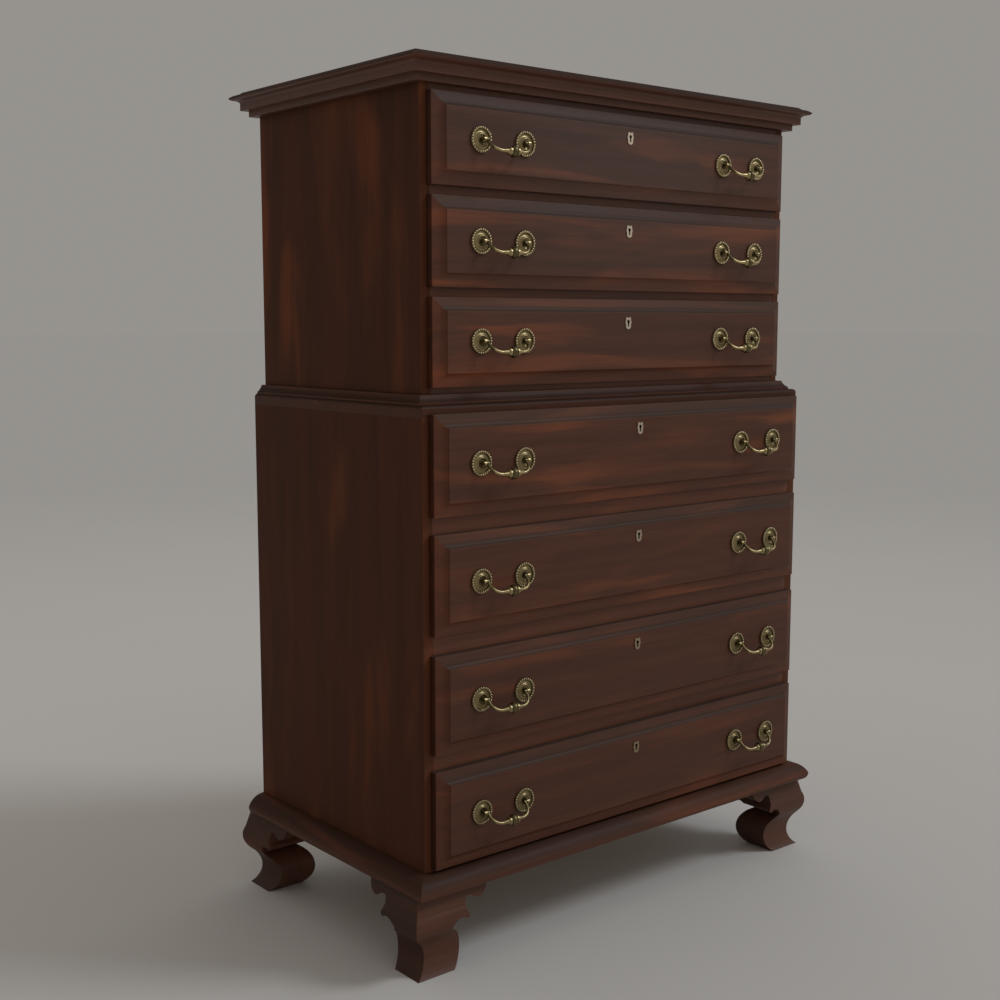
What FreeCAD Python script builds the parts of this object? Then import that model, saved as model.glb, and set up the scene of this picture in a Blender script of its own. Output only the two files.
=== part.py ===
# A chest-on-chest: a case of three drawers standing on a case of four, on ogee bracket feet.
# Millimetres. +Z is up and the drawers face -Y. The origin lies on the floor under the middle of the chest.
import FreeCAD, Part
import math
import os

Vector = FreeCAD.Vector

# Cases
lower_width = 900.0
lower_depth = 507.0
upper_width = 855.0
upper_setback = 32.0
board = 19.0
back_panel_thickness = 8.0
rail_depth = 60.0
runner_width = 25.0
top_edge_radius = 6.0

# Base moulding round the foot of the lower case
base_moulding_height = 34.0
base_moulding_reach = 32.0
base_moulding_nose = 12.5
base_moulding_toe = 27.0
base_nose_round = 1.5
base_crown_round = 6.0

# Waist moulding round the foot of the upper case
waist_height = 15.5
waist_reach = 17.5
waist_shelf = 8.0
waist_lip = 3.0
waist_hollow = 1.5

# Cornice: two square fillets and a hollow that turns into a round, under a cap board with a moulded edge
lower_fillet_reach = 14.0
lower_fillet_height = 11.0
upper_fillet_reach = 25.0
upper_fillet_height = 12.5
cornice_hollow_reach = 33.0
cornice_hollow_height = 4.8
cornice_hollow_depth = 1.2
cornice_lip_reach = 39.5
cornice_lip_height = 3.2
cornice_lip_round = 0.8
cap_reach = 40.0
cap_thickness = 11.0
cap_lip = 1.0
cap_nose_width = 13.0
cap_nose_height = 6.0
cap_nose_round = 1.5
cap_slope_width = 5.0

# Ogee bracket feet, and the scroll cut along each bracket from its far end to the floor
foot_height = 138.0
foot_side_shift = 11.5
foot_head_reach = 10.5
foot_shoulder_reach = 18.2
foot_shoulder_height = 108.0
foot_swell_reach = 22.5
foot_swell_height = 91.0
front_turn_reach = 14.6
front_turn_height = 68.8
front_ankle_reach = 1.9
side_turn_reach = 8.8
side_turn_height = 63.6
side_ankle_reach = -6.5
foot_ankle_height = 33.0
foot_toe_reach = 12.5
foot_wood = 18.0
corner_block_reach = 80.0
side_scroll_pull = 9.0
scroll_end_reach = 127.5
scroll_end_round = 7.3
scroll_drop_reach = 105.5
scroll_drop_height = 113.5
scroll_notch_reach = 91.5
scroll_notch_height = 121.0
scroll_step_reach = 82.5
scroll_bite = 4.5
scroll_lobe_reach = 84.5
scroll_lobe_height = 95.0
scroll_lobe_round = 2.5
scroll_spur_reach = 80.5
scroll_spur_height = 86.5
scroll_throat = 9.5
scroll_waist_reach = 52.0
scroll_waist_height = 74.0
scroll_toe_round = 22.0
scroll_floor_reach = 60.5

# Drawer fronts, and the strips of case that show between them
upper_front_height = 140.5
lower_front_height = 160.5
upper_gap = 15.0
gap_under_drawer_4 = 27.0
gap_under_drawer_5 = 31.5
gap_under_drawer_6 = 27.0
base_reveal = 5.0
waist_reveal = 10.5
cornice_reveal = 11.0
lip_overlap = 6.0
lip_edge = 12.6
lip_gap = 0.3
border_width = 12.5
border_rise = 3.0
front_cove_width = 9.5
front_cove_rise = 7.0
front_cove_hollow = 1.2
tongue_depth = 10.0

# Drawer boxes and how they run
drawer_wood = 12.0
drawer_bottom_wood = 6.0
drawer_bottom_lift = 10.0
groove_depth = 5.0
groove_gap = 0.2
side_clearance = 1.0
top_clearance = 1.5
run_clearance = 0.3
drawer_side_drop = 3.0
drawer_end_gap = 14.0

# Drop handles
handle_centres = 90.0
upper_handle_inset = 133.5
lower_handle_inset = 129.5
handle_raise = 1.5
pivot_reach = 9.5
post_radius = 2.5
post_hole_gap = 0.1
eye_radius = 4.0
eye_width = 5.0
pin_radius = 1.8
pin_gap = 0.05
knuckle_gap = 0.3
knuckle_radius = 3.2
wire_radius = 2.5
grip_fall = 17.0
grip_reach = 16.7
bail_bend = 19.0
trumpet_radius = 4.0
ring_radius = 6.8
ring_width = 2.8
ring_slope = 2.0
groove_radius = 5.0
groove_width = 1.2
bead_radius = 9.5
bead_width = 10.0
bead_end_radius = 7.2
rosette_radius = 20.0
rosette_edge = 1.2
rosette_rim_width = 3.6
rosette_rim_height = 2.6
rosette_floor = 1.2
boss_radius = 13.5
boss_hollow = 0.5
boss_shoulder = 3.6
boss_crest_radius = 9.0
boss_crest_width = 2.0
boss_height = 4.6
cup_radius = 5.6
cup_floor = 2.8
collar_radius = 3.2
nut_flats = 9.0
nut_thickness = 5.0

# Keyhole plates: half of the outline, measured from the middle of the plate
escutcheon_drop = 40.5
escutcheon_thickness = 1.2
plate_foot_fall = 10.0
plate_foot_round = 1.6
plate_hip_reach = 6.2
plate_hip_fall = 5.0
plate_waist_reach = 6.2
plate_waist_fall = 1.3
plate_waist_hollow = 0.2
plate_wing_reach = 7.0
plate_wing_rise = 2.7
plate_wing_round = 0.6
plate_neck_reach = 6.1
plate_neck_rise = 6.8
plate_neck_hollow = 0.2
plate_horn_reach = 5.6
plate_horn_width = 3.2
plate_horn_rise = 10.4
plate_notch_rise = 9.4
plate_notch_hollow = 0.3
keyhole_radius = 3.0
keyhole_slot = 3.0
keyhole_rise = 3.0
keyhole_fall = 5.5

# Locks
lock_width = 60.0
lock_height = 48.0
lock_depth = 8.5
bolt_width = 24.0
bolt_thickness = 3.5
bolt_height = 28.0
bolt_travel = 8.0
bolt_gap = 0.3
bolt_mortise_gap = 1.0

# Places worked out from the sizes above
lower_half = lower_width / 2
upper_half = upper_width / 2
lower_room = lower_half - board
upper_room = upper_half - board
upper_front = upper_setback
back_face = lower_depth - back_panel_thickness
field_rise = border_rise + front_cove_rise
field_reach = lip_gap + lip_edge + field_rise
base_top = foot_height + base_moulding_height
drawer_7_bottom = base_top + base_reveal
drawer_6_bottom = drawer_7_bottom + lower_front_height + gap_under_drawer_6
drawer_5_bottom = drawer_6_bottom + lower_front_height + gap_under_drawer_5
drawer_4_bottom = drawer_5_bottom + lower_front_height + gap_under_drawer_4
lower_top = drawer_4_bottom + lower_front_height - lip_overlap + board
drawer_3_bottom = lower_top + waist_height + waist_reveal
drawer_2_bottom = drawer_3_bottom + upper_front_height + upper_gap
drawer_1_bottom = drawer_2_bottom + upper_front_height + upper_gap
cornice_bottom = drawer_1_bottom + upper_front_height + cornice_reveal
cornice_height = lower_fillet_height + upper_fillet_height + cornice_hollow_height + cornice_lip_height
upper_top = cornice_bottom + cornice_height
handle_reach = pivot_reach + grip_reach + bead_radius
front_reach = max(field_reach + handle_reach, base_moulding_reach, foot_swell_reach)
rear_reach = lower_depth + max(cap_reach, foot_swell_reach)
plan_middle = (rear_reach - front_reach) / 2
bail_drop = (grip_fall ** 2 + grip_reach ** 2) ** 0.5
bail_lean = math.degrees(math.atan2(grip_reach, grip_fall))
front_ogee = (front_turn_reach, front_turn_height, front_ankle_reach)
side_ogee = (side_turn_reach, side_turn_height, side_ankle_reach)


def drawer(number, bottom, upper):
    """The sizes of one drawer: its front, the opening behind it and where its handles and lock go."""
    room = upper_room if upper else lower_room
    height = upper_front_height if upper else lower_front_height
    inset = upper_handle_inset if upper else lower_handle_inset
    return {
        "number": number,
        "face": upper_front if upper else 0.0,
        "room": room,
        "low": bottom,
        "high": bottom + height,
        "open_low": bottom + lip_overlap,
        "open_high": bottom + height - lip_overlap,
        "half": room + lip_overlap,
        "handle_x": room + lip_overlap - inset,
        "handle_z": bottom + height / 2 + handle_raise,
        "key_z": bottom + height - escutcheon_drop,
    }


drawers = [
    drawer(1, drawer_1_bottom, True),
    drawer(2, drawer_2_bottom, True),
    drawer(3, drawer_3_bottom, True),
    drawer(4, drawer_4_bottom, False),
    drawer(5, drawer_5_bottom, False),
    drawer(6, drawer_6_bottom, False),
    drawer(7, drawer_7_bottom, False),
]


# Helpers


def block(x0, x1, y0, y1, z0, z1):
    """A square-cornered board between two corners."""
    return Part.makeBox(x1 - x0, y1 - y0, z1 - z0, Vector(x0, y0, z0))


def face(path, place):
    """A flat face. A step of the path is a point, or for an arc a pair: its middle and its end."""
    start = place(*path[0])
    here = start
    edges = []
    for step in path[1:] + path[:1]:
        if isinstance(step[0], tuple):
            end = place(*step[1])
            edges.append(Part.Arc(here, place(*step[0]), end).toShape())
        else:
            end = place(*step)
            if here.distanceToPoint(end) > 1e-6:
                edges.append(Part.LineSegment(here, end).toShape())
        here = end
    return Part.Face(Part.Wire(edges))


def bowed(a, b, bow):
    """The middle point of an arc from a to b that bows to the left of the way from a to b."""
    length = ((b[0] - a[0]) ** 2 + (b[1] - a[1]) ** 2) ** 0.5
    middle_u = (a[0] + b[0]) / 2 - bow * (b[1] - a[1]) / length
    middle_v = (a[1] + b[1]) / 2 + bow * (b[0] - a[0]) / length
    return (middle_u, middle_v)


def along_x(path, x0, x1, y_of=lambda u: u):
    """A section drawn in (y, z) and run from x0 to x1."""
    return face(path, lambda u, z: Vector(x0, y_of(u), z)).extrude(Vector(x1 - x0, 0, 0))


def along_y(path, y0, y1, x_of=lambda u: u):
    """A section drawn in (x, z) and run from y0 to y1."""
    return face(path, lambda u, z: Vector(x_of(u), y0, z)).extrude(Vector(0, y1 - y0, 0))


def along_z(path, z0, z1):
    """A plan drawn in (x, y) and run from z0 to z1."""
    return face(path, lambda u, v: Vector(u, v, z0)).extrude(Vector(0, 0, z1 - z0))


def turned(path, centre, axis, across):
    """A solid turned about an axis: the path gives (distance along the axis, radius)."""
    section = face(path, lambda s, r: centre + axis * s + across * r)
    return section.revolve(centre, axis, 360)


def rod(start, axis, length, radius):
    """A round rod."""
    return Part.makeCylinder(radius, length, start, axis)


def joined(solids):
    """Several shapes made into one solid."""
    return solids[0].fuse(solids[1:]).removeSplitter()


def save(node, solids):
    """Write one node, with the origin under the middle of the chest."""
    shape = Part.makeCompound(solids)
    shape.translate(Vector(0, -plan_middle, 0))
    shape.exportStep("parts/" + node + ".step")
    print(node, len(shape.Solids), "solid(s)", "valid" if shape.isValid() else "NOT VALID")


# Mouldings: a section (reach, height) run round a case and cut to mitres at the corners


def mitred_runs(path, reach, half, front, rear, behind):
    """The front and side lengths of a moulding, and the rear one if it goes all round."""
    low = min(step[-1][1] if isinstance(step[0], tuple) else step[1] for step in path)
    high = max(step[-1][1] if isinstance(step[0], tuple) else step[1] for step in path)
    far = half + reach
    rear_far = rear + reach if behind else rear

    def plan(points):
        return along_z(points, low, high)

    front_plan = plan([(-half, front), (half, front), (far, front - reach), (-far, front - reach)])
    left_plan = plan([(-half, front), (-far, front - reach), (-far, rear_far), (-half, rear)])
    right_plan = plan([(half, front), (far, front - reach), (far, rear_far), (half, rear)])
    runs = [
        along_x(path, -far, far, lambda u: front - u).common(front_plan),
        along_y(path, front - reach, rear_far, lambda u: -half - u).common(left_plan),
        along_y(path, front - reach, rear_far, lambda u: half + u).common(right_plan),
    ]
    if behind:
        rear_plan = plan([(-half, rear), (half, rear), (far, rear + reach), (-far, rear + reach)])
        runs.append(along_x(path, -far, far, lambda u: rear + u).common(rear_plan))
    return [run.Solids[0] for run in runs]


def base_moulding():
    """A thumb moulding: a long convex top, a rounded nose and a short return underneath."""
    crown = (base_moulding_reach, foot_height + base_moulding_nose)
    heel = (0.0, base_top)
    toe = (base_moulding_toe, foot_height)
    path = [
        (0.0, foot_height),
        toe,
        (bowed(toe, crown, -base_nose_round), crown),
        (bowed(crown, heel, -base_crown_round), heel),
    ]
    return mitred_runs(path, base_moulding_reach, lower_half, 0.0, lower_depth, False)


def waist_moulding():
    """A small shelf, a hollow slope and a square lip that stands on the lower case."""
    shelf = (waist_shelf, lower_top + waist_height)
    lip = (waist_reach, lower_top + waist_lip)
    path = [
        (0.0, lower_top),
        (waist_reach, lower_top),
        lip,
        (bowed(lip, shelf, waist_hollow), shelf),
        (0.0, lower_top + waist_height),
    ]
    return mitred_runs(path, waist_reach, upper_half, upper_front, lower_depth, False)


def cornice_moulding():
    """Two square fillets that step out, and a hollow and a round above them, on all four sides."""
    first = cornice_bottom + lower_fillet_height
    second = first + upper_fillet_height
    spring = (upper_fillet_reach, second)
    turn = (cornice_hollow_reach, second + cornice_hollow_height)
    lip = (cornice_lip_reach, upper_top)
    path = [
        (0.0, cornice_bottom),
        (lower_fillet_reach, cornice_bottom),
        (lower_fillet_reach, first),
        (upper_fillet_reach, first),
        spring,
        (bowed(spring, turn, cornice_hollow_depth), turn),
        (bowed(turn, lip, -cornice_lip_round), lip),
        (0.0, upper_top),
    ]
    return mitred_runs(path, cornice_lip_reach, upper_half, upper_front, lower_depth, True)


def cap_section(low, high):
    """The cap board's section between two ends, with its lip, rounded nose and slope."""
    lip = upper_top + cap_lip
    nose = lip + cap_nose_height
    top = upper_top + cap_thickness
    slope = cap_nose_width + cap_slope_width
    low_lip = (low, lip)
    low_nose = (low + cap_nose_width, nose)
    high_lip = (high, lip)
    high_nose = (high - cap_nose_width, nose)
    return [
        (low, upper_top),
        (high, upper_top),
        high_lip,
        (bowed(high_lip, high_nose, -cap_nose_round), high_nose),
        (high - slope, top),
        (low + slope, top),
        low_nose,
        (bowed(low_nose, low_lip, -cap_nose_round), low_lip),
    ]


def cap_board():
    """The top of the chest: the same moulded edge on all four sides."""
    far = upper_half + cap_reach
    front = upper_front - cap_reach
    rear = lower_depth + cap_reach
    lengthwise = along_x(cap_section(front, rear), -far, far)
    crosswise = along_y(cap_section(-far, far), front, rear)
    return [lengthwise.common(crosswise).Solids[0]]


# Cases


def lower_top_board():
    """The board the upper case stands on, rounded along its front and side edges."""
    z0 = lower_top - board
    r = top_edge_radius
    bite = r * (1 - 0.5 ** 0.5)
    lengthwise = along_x(
        [
            (0.0, z0),
            (lower_depth, z0),
            (lower_depth, lower_top),
            (r, lower_top),
            ((bite, lower_top - bite), (0.0, lower_top - r)),
        ],
        -lower_half,
        lower_half,
    )
    crosswise = along_y(
        [
            (-lower_half, z0),
            (lower_half, z0),
            (lower_half, lower_top - r),
            ((lower_half - bite, lower_top - bite), (lower_half - r, lower_top)),
            (r - lower_half, lower_top),
            ((bite - lower_half, lower_top - bite), (-lower_half, lower_top - r)),
        ],
        0.0,
        lower_depth,
    )
    return lengthwise.common(crosswise).cut(bolt_mortise(drawers[3])).Solids[0]


def bolt_y(this):
    """The middle of a drawer's lock bolt, front to back."""
    return this["face"] + tongue_depth - lock_depth / 2


def bolt_mortise(this):
    """The slot above a drawer that its lock bolt rises into."""
    half_x = bolt_width / 2 + bolt_mortise_gap
    half_y = bolt_thickness / 2 + bolt_mortise_gap
    y = bolt_y(this)
    top = this["open_high"] - top_clearance + bolt_travel + bolt_mortise_gap
    return block(-half_x, half_x, y - half_y, y + half_y, this["open_high"] - board, top)


def sides(half, front, low, high):
    """The left and the right side of a case."""
    left = block(-half, board - half, front, lower_depth, low, high)
    right = block(half - board, half, front, lower_depth, low, high)
    return left, right


def bottom_board(room, front, top):
    """A case bottom between the sides, in front of the back panel. The lowest drawer slides on it."""
    return block(-room, room, front, back_face, top - board, top)


def back_panel(room, low, high):
    """A back let in between the sides, flush behind."""
    return block(-room, room, back_face, lower_depth, low, high)


def rail(this, depth, high):
    """The cross rail over a drawer, with the slot for the bolt of that drawer's lock."""
    room = this["room"]
    front = this["face"]
    bar = block(-room, room, front, front + depth, this["open_high"], high)
    return bar.cut(bolt_mortise(this)).Solids[0]


def base_rail(room, front, low, high):
    """The rail under a case bottom."""
    return block(-room, room, front, front + rail_depth, low, high)


def rails(case):
    """The rails over every drawer but the uppermost one of a case."""
    return [rail(below, rail_depth, above["open_low"]) for above, below in zip(case, case[1:])]


def runners(case):
    """Bars on both sides, level with the rails, that the drawers above slide on."""
    bars = []
    for above, below in zip(case, case[1:]):
        front = above["face"] + rail_depth
        for x0 in (-above["room"], above["room"] - runner_width):
            bars.append(block(x0, x0 + runner_width, front, back_face, below["open_high"], above["open_low"]))
    return bars


def kickers():
    """Bars over the top drawer that stop it tipping when it is pulled out."""
    low = drawers[0]["open_high"]
    front = upper_front + board
    starts = (-upper_room, upper_room - runner_width)
    return [block(x0, x0 + runner_width, front, back_face, low, low + runner_width) for x0 in starts]


# Feet


def foot_section(ogee, thickness):
    """The ogee of a bracket: a sloping shoulder, a swell, a hollow ankle and a toe that flares."""
    turn_reach, turn_height, ankle_reach = ogee
    turn = (turn_reach, turn_height)
    toe = (foot_toe_reach, 0.0)
    return [
        (-thickness, 0.0),
        (-thickness, foot_height),
        (foot_head_reach, foot_height),
        (foot_shoulder_reach, foot_shoulder_height),
        ((foot_swell_reach, foot_swell_height), turn),
        ((ankle_reach, foot_ankle_height), toe),
    ]


def scroll_outline(beyond, pull):
    """A bracket seen square on: its scrolled edge from the far end to the floor, and past its corner."""
    end = (scroll_end_reach - pull, foot_height)
    drop = (scroll_drop_reach - pull, scroll_drop_height)
    step = (scroll_step_reach - pull, scroll_notch_height)
    lobe = (scroll_lobe_reach - pull, scroll_lobe_height)
    spur = (scroll_spur_reach - pull, scroll_spur_height)
    waist = (scroll_waist_reach - pull, scroll_waist_height)
    floor = (scroll_floor_reach - pull, 0.0)
    return [
        (-beyond, 0.0),
        (-beyond, foot_height),
        end,
        (bowed(end, drop, scroll_end_round), drop),
        (scroll_notch_reach - pull, scroll_notch_height),
        step,
        (bowed(step, lobe, -scroll_bite), lobe),
        (bowed(lobe, spur, scroll_lobe_round), spur),
        (bowed(spur, waist, -scroll_throat), waist),
        (bowed(waist, floor, scroll_toe_round), floor),
    ]


def crossed(shape):
    """The same shape with its front and its left side changed over."""
    return shape.mirror(Vector(0, 0, 0), Vector(1, -1, 0))


def bracket(ogee, pull):
    """The bracket along the front of the left front foot, with its scroll pulled towards the corner."""
    beyond = foot_wood + foot_swell_reach
    run = along_x(foot_section(ogee, foot_wood), -beyond, scroll_end_reach, lambda reach: -reach)
    scroll = along_y(scroll_outline(beyond, pull), -beyond, foot_wood)
    mitre_plan = [
        (-beyond, -beyond),
        (scroll_end_reach, -beyond),
        (scroll_end_reach, foot_wood),
        (foot_wood, foot_wood),
    ]
    mitre = along_z(mitre_plan, 0.0, foot_height)
    return run.common(scroll).common(mitre).Solids[0]


def corner_block():
    """The shaped block behind the two brackets of a foot: it has the scroll of each on its inner faces."""
    front = along_y(scroll_outline(0.0, 0.0), 0.0, corner_block_reach)
    side = crossed(along_y(scroll_outline(0.0, side_scroll_pull), 0.0, corner_block_reach))
    inner = block(foot_wood, corner_block_reach, foot_wood, corner_block_reach, 0.0, foot_height)
    return inner.common(front).common(side).Solids[0]


def foot():
    """The left front foot: two brackets mitred at the corner, and a shaped block behind them.

    The ogee of the side is the deeper one, so the end of the front bracket is cut to it.
    """
    side_end = foot_section(side_ogee, scroll_end_reach)
    end = along_y(side_end, -foot_wood - foot_swell_reach, foot_wood, lambda reach: -reach)
    front = bracket(front_ogee, 0.0).common(end).Solids[0]
    side = crossed(bracket(side_ogee, side_scroll_pull))
    pieces = [front, side, corner_block()]
    for piece in pieces:
        piece.translate(Vector(-lower_half - foot_side_shift, 0, 0))
    return pieces


def mirrored(pieces, point, normal):
    """The same pieces seen in a mirror."""
    return [piece.mirror(point, normal) for piece in pieces]


# Drawers


def front_section(lip_low, lip_high, tongue_low, tongue_high, face_y):
    """A drawer front cut across: tongue, lip, sloping border, cove and raised field."""
    lip_back = face_y - lip_gap
    edge = lip_back - lip_edge
    border = edge - border_rise
    field = border - front_cove_rise
    inset = border_width + front_cove_width
    low_border = (lip_low + border_width, border)
    low_field = (lip_low + inset, field)
    high_border = (lip_high - border_width, border)
    high_field = (lip_high - inset, field)
    return [
        (tongue_low, face_y + tongue_depth),
        (tongue_high, face_y + tongue_depth),
        (tongue_high, lip_back),
        (lip_high, lip_back),
        (lip_high, edge),
        high_border,
        (bowed(high_border, high_field, -front_cove_hollow), high_field),
        low_field,
        (bowed(low_field, low_border, -front_cove_hollow), low_border),
        (lip_low, edge),
        (lip_low, lip_back),
        (tongue_low, lip_back),
    ]


def keyhole(this, y0, y1):
    """The round and slot of a keyhole, run from y0 to y1."""
    z = this["key_z"]
    barrel = rod(Vector(0, y0, z + keyhole_rise), Vector(0, 1, 0), y1 - y0, keyhole_radius)
    half = keyhole_slot / 2
    slot = block(-half, half, y0, y1, z - keyhole_fall, z + keyhole_rise)
    return joined([barrel, slot])


def post_places(this):
    """The middles of the four handle posts of a drawer, on the face of its field."""
    places = []
    for middle in (-this["handle_x"], this["handle_x"]):
        for offset in (-handle_centres / 2, handle_centres / 2):
            places.append(Vector(middle + offset, this["face"] - field_reach, this["handle_z"]))
    return places


def lock_box(this):
    """The space a lock takes in the back of a drawer front."""
    half = lock_width / 2
    rear = this["face"] + tongue_depth
    top = this["open_high"] - top_clearance
    return block(-half, half, rear - lock_depth, rear, top - lock_height, top)


def drawer_front(this):
    """A drawer front, bored for its handle posts and cut for its lock."""
    tongue = this["room"] - side_clearance
    low = this["open_low"] + run_clearance
    high = this["open_high"] - top_clearance
    face_y = this["face"]
    half = this["half"]
    plan = along_z(front_section(-half, half, -tongue, tongue, face_y), this["low"], this["high"])
    section = front_section(this["low"], this["high"], low, high, face_y)
    upright = face(section, lambda z, y: Vector(-half, y, z)).extrude(Vector(2 * half, 0, 0))
    length = field_reach + tongue_depth
    bore = post_radius + post_hole_gap
    holes = [rod(place, Vector(0, 1, 0), length, bore) for place in post_places(this)]
    cuts = holes + [keyhole(this, face_y - field_reach, face_y + tongue_depth), lock_box(this)]
    return plan.common(upright).cut(cuts).Solids[0]


def drawer_box(this):
    """The two sides, the back and the bottom of a drawer, with grooves that hold the bottom."""
    outer = this["room"] - side_clearance
    inner = outer - drawer_wood
    front = this["face"] + tongue_depth
    rear = back_face - drawer_end_gap
    low = this["open_low"] + run_clearance
    high = this["open_high"] - top_clearance - drawer_side_drop
    bottom_low = low + drawer_bottom_lift
    bottom_high = bottom_low + drawer_bottom_wood
    reach = inner + groove_depth
    groove_reach = reach + groove_gap
    groove = block(-groove_reach, groove_reach, front, rear, bottom_low, bottom_high + groove_gap)
    left = block(-outer, -inner, front, rear, low, high).cut(groove)
    right = block(inner, outer, front, rear, low, high).cut(groove)
    back = block(-inner, inner, rear - drawer_wood, rear, bottom_high + groove_gap, high)
    bottom = block(-reach, reach, front, rear, bottom_low, bottom_high)
    return [left.Solids[0], right.Solids[0], back, bottom]


def rosette(place):
    """A round back plate: a raised rim, a dished floor and a boss with a cup in it for the post."""
    rim = rosette_radius - rosette_rim_width
    hole = post_radius + post_hole_gap
    crest = (rosette_radius + rim) / 2
    boss_foot = (rosette_floor, boss_radius)
    shoulder = (boss_shoulder, boss_crest_radius + boss_crest_width / 2)
    cup_edge = (boss_shoulder, boss_crest_radius - boss_crest_width / 2)
    path = [
        (0.0, hole),
        (0.0, rosette_radius),
        (rosette_edge, rosette_radius),
        ((rosette_rim_height, crest), (rosette_floor, rim)),
        boss_foot,
        (bowed(boss_foot, shoulder, -boss_hollow), shoulder),
        ((boss_height, boss_crest_radius), cup_edge),
        (cup_floor, cup_radius),
        (cup_floor, hole),
    ]
    return turned(path, place, Vector(0, -1, 0), Vector(1, 0, 0))


def post(place):
    """A handle post: an eye for the bail, a collar in the cup of its rosette and a long shank."""
    shank_length = pivot_reach + field_reach + tongue_depth + nut_thickness
    pivot = place + Vector(0, -pivot_reach, 0)
    shank = rod(pivot, Vector(0, 1, 0), shank_length, post_radius)
    collar_length = pivot_reach - knuckle_radius - knuckle_gap - cup_floor
    collar = rod(place - Vector(0, cup_floor, 0), Vector(0, -1, 0), collar_length, collar_radius)
    eye = rod(pivot - Vector(eye_width / 2, 0, 0), Vector(1, 0, 0), eye_width, eye_radius)
    hole = rod(pivot - Vector(eye_width, 0, 0), Vector(1, 0, 0), 2 * eye_width, pin_radius + pin_gap)
    return joined([shank, collar, eye]).cut(hole).Solids[0]


def nut(place):
    """The six-sided nut on the inner end of a post."""
    radius = nut_flats / 3 ** 0.5
    start = place + Vector(0, field_reach + tongue_depth, 0)
    turn = FreeCAD.Rotation(Vector(0, 1, 0), 60)
    corner = Vector(radius, 0, 0)
    corners = [start + corner]
    for _ in range(6):
        corner = turn.multVec(corner)
        corners.append(start + corner)
    prism = Part.Face(Part.makePolygon(corners[:6] + corners[:1])).extrude(Vector(0, nut_thickness, 0))
    bore = rod(start, Vector(0, 1, 0), nut_thickness, post_radius + post_hole_gap)
    return prism.cut(bore).Solids[0]


def escutcheon(this):
    """A keyhole plate: two small horns on top, wings, a narrow waist, hips and a pointed foot."""
    foot_point = (0.0, -plate_foot_fall)
    hip = (plate_hip_reach, -plate_hip_fall)
    waist = (plate_waist_reach, -plate_waist_fall)
    wing = (plate_wing_reach, plate_wing_rise)
    neck = (plate_neck_reach, plate_neck_rise)
    horn_inner = (plate_horn_reach - plate_horn_width, plate_horn_rise)
    notch = (0.0, plate_notch_rise)
    half = [
        foot_point,
        (bowed(foot_point, hip, -plate_foot_round), hip),
        (bowed(hip, waist, plate_waist_hollow), waist),
        (bowed(waist, wing, -plate_wing_round), wing),
        (bowed(wing, neck, plate_neck_hollow), neck),
        (plate_horn_reach, plate_horn_rise),
        horn_inner,
        (bowed(horn_inner, notch, plate_notch_hollow), notch),
    ]
    field = this["face"] - field_reach
    z = this["key_z"]
    right = face(half, lambda x, h: Vector(x, field, z + h)).extrude(Vector(0, -escutcheon_thickness, 0))
    plate = joined([right, right.mirror(Vector(0, 0, 0), Vector(1, 0, 0))])
    return plate.cut(keyhole(this, field - escutcheon_thickness, field)).Solids[0]


def bolt_slot(this, gap):
    """The space of a lock bolt at rest, with a gap on its sides."""
    half_x = bolt_width / 2 + gap
    half_y = bolt_thickness / 2 + gap
    y = bolt_y(this)
    top = this["open_high"] - top_clearance
    return block(-half_x, half_x, y - half_y, y + half_y, top - bolt_height - gap, top)


def lock_case(this):
    """A lock let into the back of a drawer front: a solid case with a slot for the bolt and a keyhole."""
    front = this["face"] + tongue_depth - lock_depth
    cuts = [bolt_slot(this, bolt_gap), keyhole(this, front, bolt_y(this))]
    return lock_box(this).cut(cuts).Solids[0]


def brasses(this):
    """All the fixed brass of a drawer: rosettes, posts, nuts, escutcheon and lock case."""
    solids = []
    for place in post_places(this):
        solids += [rosette(place), post(place), nut(place)]
    return solids + [escutcheon(this), lock_case(this)]


def bail(this, side):
    """A swinging handle: pins in the post eyes, bent arms, and a grip turned with two rings and a bead."""
    pivot = Vector(side * this["handle_x"], this["face"] - field_reach - pivot_reach, this["handle_z"])
    half = handle_centres / 2
    pin_end = half + eye_width / 2
    knuckle_out = half - max(eye_width / 2, post_radius) - knuckle_gap
    arm = knuckle_out - wire_radius
    grip = pivot - Vector(0, 0, bail_drop)
    bend_start = bail_drop - bail_bend
    solids = []
    for way in (-1, 1):
        out = Vector(way, 0, 0)
        knuckle_in = pivot + out * (knuckle_out - 2 * wire_radius)
        arm_end = pivot + out * arm - Vector(0, 0, bend_start)
        disc = Part.Face(Part.Wire(Part.makeCircle(wire_radius, arm_end)))
        solids.append(rod(pivot + out * arm, out, pin_end - arm, pin_radius))
        solids.append(rod(knuckle_in, out, 2 * wire_radius, knuckle_radius))
        solids.append(rod(pivot + out * arm, Vector(0, 0, -1), bend_start, wire_radius))
        solids.append(disc.revolve(arm_end - out * bail_bend, Vector(0, way, 0), 90))
    bead = bead_width / 2
    ring_inner = bead + groove_width
    ring_outer = ring_inner + ring_width
    trumpet = ring_outer + ring_slope
    rod_end = arm - bail_bend
    right = [
        (bead, groove_radius),
        (ring_inner, groove_radius),
        (ring_inner, ring_radius),
        (ring_outer, ring_radius),
        (trumpet, trumpet_radius),
        (rod_end, wire_radius),
        (rod_end, 0.0),
    ]
    left = [(-s, r) for s, r in reversed(right)]
    path = left + [(-bead, bead_end_radius), ((0.0, bead_radius), (bead, bead_end_radius))] + right
    solids.append(turned(path, grip, Vector(1, 0, 0), Vector(0, 0, 1)))
    hanging = joined(solids).Solids[0]
    return hanging.rotate(pivot, Vector(1, 0, 0), -bail_lean)


def lock_bolt(this):
    """The bolt of a lock, drawn in."""
    return bolt_slot(this, 0.0)


# The chest


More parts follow.
